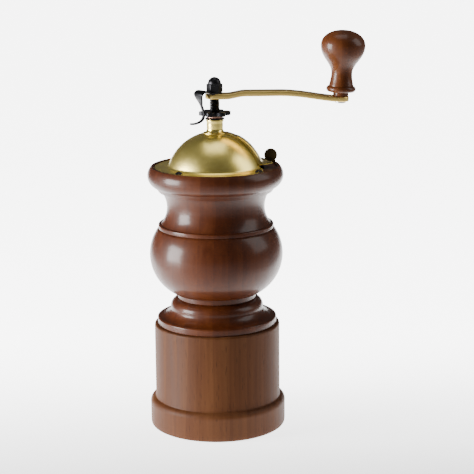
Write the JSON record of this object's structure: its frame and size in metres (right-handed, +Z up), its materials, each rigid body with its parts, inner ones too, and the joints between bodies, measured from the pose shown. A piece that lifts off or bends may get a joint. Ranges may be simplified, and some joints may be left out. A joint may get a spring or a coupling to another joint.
{
  "type": "manual coffee grinder",
  "caption": "Turned wooden hand coffee grinder with a brass dome, a filling door, a top crank with a wooden knob, conical burrs inside and a wooden cup below that catches the grounds.",
  "frame": {"origin": "centre of the flat underside of the cup, on the surface that the grinder stands on", "axes": "+Z up along the shaft; +X along the crank arm and through the filling door, which both point that way at rest; the picture looks along +Y"},
  "size_m": [0.1369, 0.0868, 0.2529],
  "materials": {
    "lacquered_wood": "high gloss lacquer over dark red-brown turned wood",
    "satin_wood": "satin varnish over lighter brown turned wood with vertical grain",
    "brass": "polished",
    "burnished_brass": "dark, dull, handled",
    "black_steel": "blackened, low gloss",
    "steel": "ground",
    "cast_iron": "rough cast, faces machined",
    "copper": "turned copper, satin",
    "bronze": "sintered bearing bronze, dull"
  },
  "bodies": {
    "cup": {"base_cup": "satin_wood"},
    "mill": {"upper_body": "lacquered_wood", "dome_cap": "brass", "dome_screw_1": "black_steel", "dome_screw_2": "black_steel", "dome_screw_3": "black_steel", "dome_screw_4": "black_steel", "neck": "brass", "neck_nut": "brass", "neck_bush": "black_steel", "burr_holder": "cast_iron", "retaining_plate": "steel", "holder_screw_1": "steel", "holder_screw_2": "steel", "holder_screw_3": "steel", "bridge_bush": "bronze", "ring_burr": "steel"},
    "door": {"filling_door": "brass", "door_tab": "burnished_brass"},
    "crank": {"shaft": "black_steel", "crank_arm": "brass", "lock_clip": "black_steel", "cap_nut": "black_steel", "thrust_washer": "copper", "cone_burr": "steel", "shaft_spring": "steel", "spring_washer": "steel", "burr_washer": "steel", "burr_nut": "steel", "knob_spindle": "steel"},
    "disc": {"adjusting_disc": "black_steel"},
    "clip_leg": {"lock_leg": "black_steel"},
    "knob": {"hand_knob": "lacquered_wood"}
  },
  "joints": [
    {"name": "mill_lift", "type": "slide", "parent": "cup", "child": "mill", "axis": [0, 0, 1], "range_m": [0, 0.09]},
    {"name": "door_swing", "type": "hinge", "parent": "mill", "child": "door", "pos_m": [0, 0, 0.18846], "axis": [0, 0, 1], "range_deg": [0, 110]},
    {"name": "crank_turn", "type": "hinge", "parent": "mill", "child": "crank", "pos_m": [0, 0, 0.19741], "axis": [0, 0, 1], "continuous": true},
    {"name": "grind_adjust", "type": "hinge", "parent": "crank", "child": "disc", "pos_m": [0, 0, 0.20101], "axis": [0, 0, 1], "range_deg": [0, 60]},
    {"name": "clip_release", "type": "hinge", "parent": "crank", "child": "clip_leg", "pos_m": [-0.00737, -0.00516, 0.21541], "axis": [-0.5736, 0.8192, 0], "range_deg": [0, 34]},
    {"name": "knob_spin", "type": "hinge", "parent": "crank", "child": "knob", "pos_m": [0.0782, 0, 0.20791], "axis": [0.0436, 0, 0.999], "continuous": true}
  ],
  "couplings": [
    {"joint": "clip_release", "follows": "grind_adjust", "ratio": 0.55}
  ]
}
